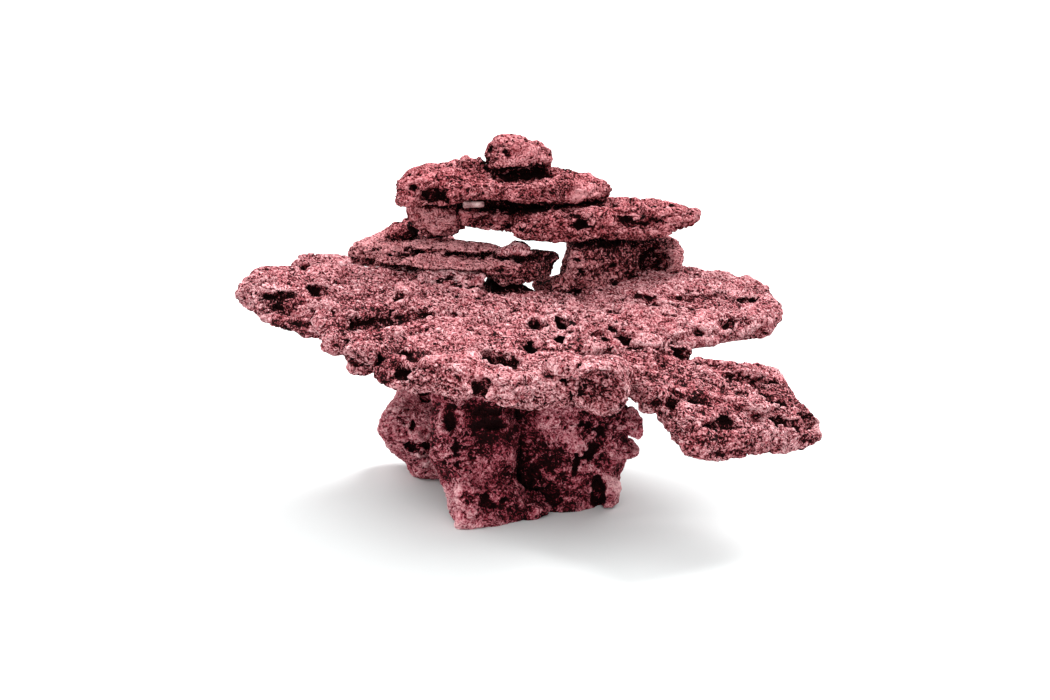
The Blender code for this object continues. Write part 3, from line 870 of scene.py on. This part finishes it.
# The right pillar: an upright block of the redder stone with a cavern in its right face, bonded
# between the upper shelf and the crown. Its crust is painted black in the cavern and under the
# crown as painted shade, and lighter on its right edge and patches of its front as painted light.
PILLAR_CRUST = crust_material(
    "pillar_crust",
    colours=STACK_COLOURS,
    lift=0.1,
    grit=1.4,
    patchiness=5.0,
    spots=[
        ((134, 88, 206), 18, 1.6),
        ((150, 103, 197), 18, 1.2),
        ((48, 74, 185), 12, 0.9),
        ((61, 72, 208), 12, -0.9),
        ((118, 80, 196), 14, -3.4),
        ((128, 110, 196), 13, -2.6),
        ((134, 116, 192), 8, -2.2),
        ((58, 74, 200), 16, 0.7),
        ((92, 78, 215), 30, -0.7),
    ],
)
dressed(
    "right_pillar", PILLAR_CRUST, "rose_stone", cell=0.0013, seed=35,
    lumps=[((42, 78, 177), (13, 10, 6)), ((26, 76, 172), (9, 8, 5))],
    hollows=[
        ((20, 95, 182), (16, 40, 8)),
        ((132, 96, 198), (15, 32, 17)),
        ((121, 84, 187), (9, 18, 12)),
        ((96, 80, 196), (6, 4, 3), 20),
        ((96, 82, 187), (9, 5, 3)),
        *crack(6, 5, (64, 72, 183), (78, 78, 191), (92, 83, 200)),
        *crack(15, 4.5, (36, 78, 219), (84, 80, 220), (132, 86, 221)),
    ],
)

# The neck: a knobbly stone and a flat chip, bonded on the middle shelf, that carry the left of the
# crown, and the thin slab in the shadow behind the gap beside them.
# Its spots paint light on the neck, the cap and the top of the right crown slab below the crown,
# and shade on a patch at the back of the crown.
CROWN_CRUST = crust_material(
    "crown_crust",
    colours=STACK_COLOURS,
    lift=-0.2,
    spots=[
        ((-82, 96, 236), 28, 1.8),
        ((6, 100, 302), 34, 0.6),
        ((66, 94, 264), 20, 2.2),
        ((51, 135, 282), 14, -2.4),
        ((56, 92, 259), 12, 2.2),
    ],
)
dressed(
    "neck_stone", CROWN_CRUST, "rose_stone", cell=0.0011, seed=41,
    hollows=[
        *crack(8, 3.5, (-102, 104, 226), (-84, 102, 224), (-64, 102, 223)),
        ((-96, 104, 240), (6, 6, 5), 30),
        ((-72, 96, 243), (9, 6, 5)),
        ((-60, 100, 234), (6, 6, 5)),
    ],
    Knob_height=0.0028,
)
dressed("neck_chip", CROWN_CRUST, "rose_stone", cell=0.0011, seed=42)
dressed(
    "back_slab", CROWN_CRUST, "maroon_stone", cell=0.0014, seed=43,
    lumps=[((-26, 136, 250), (42, 16, 7)), ((18, 132, 247), (24, 14, 7))],
    hollows=[((-36, 100, 236), (16, 10, 7)), ((-14, 98, 234), (12, 8, 4))],
)

# The crown: a wedge-shaped slab of reef stone that runs out to the right, and bonded over it a
# thick lens-shaped one with a rounded knob at its left end. Dark cracks split both along their
# leaves.
dressed(
    "right_crown_slab", CROWN_CRUST, "rose_stone", cell=0.0012, seed=44,
    hollows=[
        *crack(12, 3.2, (66, 98, 254), (92, 98, 254), (120, 96, 253)),
        *crack(10, 2.4, (120, 92, 252), (150, 92, 251)),
        ((60, 72, 239), (16, 12, 5), 4),
        ((103, 72, 243), (11, 12, 6), -4),
        ((129, 72, 242), (20, 10, 4.2), 4),
        ((3, 70, 236), (8, 9, 6)),
        *crack(5, 2.2, (14, 66, 238), (40, 70, 244), (70, 76, 250)),
    ],
    Leaf_thickness=0.006, Leaf_depth=0.0016,
)
dressed(
    "crown_slab", CROWN_CRUST, "rose_stone", cell=0.0012, seed=45,
    lumps=[
        ((-50, 116, 291), (9, 8, 7)),
        ((-38, 118, 290), (6, 7, 6)),
        ((-74, 96, 282), (22, 14, 6), 8),
        ((26, 92, 274), (34, 12, 6), 4),
        ((-105, 92, 262), (12, 13, 9)),
    ],
    hollows=[
        ((-79, 80, 265), (16, 15, 9.5)),
        ((-98, 78, 272), (7.5, 12, 6)),
        ((-51, 84, 283), (5, 5, 5)),
        ((44, 108, 283), (10, 9, 4.5), 5),
        ((4, 100, 282), (33, 30, 8), 2),
        ((-22, 74, 254), (46, 22, 9)),
        ((34, 78, 252), (30, 16, 8)),
        ((-54, 72, 262), (8, 10, 4)),
    ],
)

# The cap: a round fist-sized lump of reef stone, bonded on top of the crown, undercut at its foot
# by a deep hollow.
dressed(
    "cap_stone", CROWN_CRUST, "rose_stone", cell=0.0011, seed=46,
    hollows=[
        ((-11, 98, 307), (8, 8, 6)),
        ((24, 112, 309), (6, 7, 6)),
        ((4, 96, 285), (30, 28, 8)),
        ((8, 98, 297), (5, 4, 4)),
    ],
)

# The legs: three squared and rounded blocks of a smoother, wine-red stone, cut flat where they
# stand on the floor. The crust of the front and right blocks is painted dark as painted shade
# under the shelves, with pale patches that are partly the stone's bleaching and partly painted
# light, and black painted shade in the recesses between them.
WINE_COLOURS = palette(
    (26, 2, 4), (72, 10, 17), (102, 27, 39), (130, 47, 59), (156, 71, 83),
    (178, 98, 108), (199, 126, 134), (221, 155, 161), (243, 189, 192),
)
LEG_LAYERS = {
    "pocks": {"Pocks_per_square_metre": 1200.0},
    "Crumb_height": 0.0008,
    "Knob_height": 0.0010,
    "Lump_height": 0.0026,
    "Fold_height": 0.0012,
}
SHADED_LEG_CRUST = crust_material(
    "leg_crust",
    colours=WINE_COLOURS,
    lift=-1.0,
    grit=0.65,
    patchiness=3.0,
    spots=[
        ((-66, -80, 92), 13, 0.9),
        ((-62, -84, 66), 13, 0.9),
        ((-57, -94, 36), 12, 1.6),
        ((-46, -98, 8), 19, 1.2),
        ((-33, -80, 48), 14, 1.2),
        ((-60, -80, 97), 12, -1.6),
        ((-24, -76, 92), 24, -1.3),
        ((-16, -80, 62), 12, 0.7),
        ((36, -54, 84), 24, 1.3),
        ((48, -54, 66), 9, 0.9),
        ((92, -50, 26), 18, 1.6),
        ((98, -44, 56), 20, 0.9),
        ((22, -56, 36), 24, -0.9),
        ((-63, -77, 20), 16, 2.8),
        ((-53, -97, 22), 11, 1.8),
        ((22, -72, 0), 14, -2.0),
        ((5, -84, 5), 12, -0.8),
        ((-6, -88, 22), 12, -1.6),
        ((-51, -81, 50), 10, 0.6),
        ((41, -64, 1), 12, -1.4),
        ((114, -50, 82), 8, -0.9),
        ((78, -52, 22), 9, -1.6),
        ((6, -64, 70), 9, -1.4),
    ],
)
dressed(
    "base_front_block", SHADED_LEG_CRUST, "maroon_stone", cell=0.0018, seed=11,
    lumps=[((-20, -85, 4), (40, 11, 10), 26), ((14, -70, 4), (16, 12, 9), 32)],
    hollows=[
        ((-60, -80, 97), (8, 12, 15)),
        ((-40, -80, 87), (13, 9, 2.6)),
        ((-18, -77, 89), (17, 10, 5)),
        ((-18, -76, 99), (17, 9, 2.6)),
        ((-55, -82, 66), (3, 6, 18)),
        ((-14, -86, 22), (3.5, 6, 3)),
        ((2, -64, 84), (5, 9, 26)),
    ],
    **LEG_LAYERS,
)
dressed(
    "base_right_block", SHADED_LEG_CRUST, "maroon_stone", cell=0.0018, seed=12,
    lumps=[
        ((42, -54, 4), (22, 9, 12)),
        ((64, -46, 4), (16, 8, 10), 38),
        ((104, -48, 82), (8, 7, 14)),
        ((110, -46, 73), (5, 5, 9)),
        ((94, 10, 38), (8, 20, 26), 8),
        ((96, 46, 104), (9, 18, 24), -12),
        ((84, 64, 32), (16, 12, 28), -20),
        ((54, 73, 58), (28, 8, 28), 6),
        ((8, 70, 112), (20, 9, 26), -8),
    ],
    hollows=[
        ((53, -55, 42), (4.5, 10, 12)),
        ((67, -51, 54), (7, 10, 10)),
        ((74, -56, 17), (7, 15, 22)),
        ((62, -53, 78), (8, 7, 3.5)),
        ((77, -50, 70), (5.5, 9, 10)),
        ((92, -50, 54), (4.5, 7, 5)),
        ((106, -8, 92), (9, 16, 12)),
        ((106, 32, 64), (8, 8, 14)),
        ((104, 50, 24), (9, 12, 7)),
        ((82, 80, 98), (14, 10, 10)),
        ((32, 82, 74), (9, 10, 18)),
        ((64, 80, 16), (18, 9, 7)),
        ((-8, 78, 42), (8, 9, 14)),
        *crack(9, 10, (8, -56, 40), (16, -58, 22), (36, -60, 8)),
    ],
    **LEG_LAYERS,
)

# The left block, which the light reaches from the left, gets a lighter copy of the leg crust as
# painted light.
LIT_LEG_CRUST = crust_material(
    "wine_crust", lift=0.30, grit=0.65, patchiness=2.5, colours=WINE_COLOURS
)
dressed(
    "base_left_block", LIT_LEG_CRUST, "maroon_stone", cell=0.0016, seed=13,
    lumps=[
        ((-98, 74, 96), (18, 16, 28), 10),
        ((-52, 80, 42), (22, 14, 28), -10),
        ((-70, 84, 128), (24, 12, 20), 6),
    ],
    hollows=[
        ((-98, 1, 37), (14, 11, 6), 10),
        ((-86, 4, 38), (9, 10, 6)),
        ((-89, 30, 86), (7, 9, 5)),
        ((-110, 10, 75), (3.5, 7, 6)),
        ((-99, 6, 62), (5, 6, 5)),
        ((-87, 0, 55), (6, 7, 6)),
        ((-86, 8, 13), (10, 9, 9)),
        ((-76, 98, 92), (11, 9, 8), 20),
        ((-58, 92, 62), (7, 8, 14)),
        ((-106, 88, 40), (8, 9, 10)),
    ],
    **LEG_LAYERS,
)

# The pin: a short pale ceramic rod, rounded at its ends and stained by the stone around it, that
# joins the neck to the crown and shows in the gap between them.
ceramic = bpy.data.materials.new("stained_ceramic")
ceramic.use_nodes = True
ceramic_shader = ceramic.node_tree.nodes["Principled BSDF"]
on_pin = Wire(ceramic.node_tree).node("ShaderNodeTexCoord", out="Object")
stain = on_pin.noise(0.006, 3.0, 0.6) * 0.8 + on_pin.noise(0.0012, 2.0, 0.6) * 0.4
glaze = stain.node(
    "ShaderNodeValToRGB",
    {
        "stops": [
            (0.42, screen(92, 50, 54)),
            (0.58, screen(158, 118, 118)),
            (0.76, screen(196, 170, 166)),
        ]
    },
    Fac=stain,
)
ceramic.node_tree.links.new(glaze.socket, ceramic_shader.inputs["Base Color"])
ceramic_shader.inputs["Roughness"].default_value = 0.6

bm = bmesh.new()
bm.from_mesh(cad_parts["pale_rod"].data)
bmesh.ops.remove_doubles(bm, verts=bm.verts, dist=MERGE_DISTANCE)
rims = [edge for edge in bm.edges if edge.calc_face_angle(0) > math.radians(60)]
bmesh.ops.bevel(bm, geom=rims, offset=0.0011, segments=4, affect="EDGES", profile=0.5)
pin_mesh = bpy.data.meshes.new("pale_rod_pin")
bm.to_mesh(pin_mesh)
bm.free()
for face in pin_mesh.polygons:
    face.use_smooth = True
pin_mesh.materials.clear()
pin_mesh.materials.append(ceramic)
pin = linked("pale_rod_pin", pin_mesh)
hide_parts("pale_rod")
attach(pin, "root")
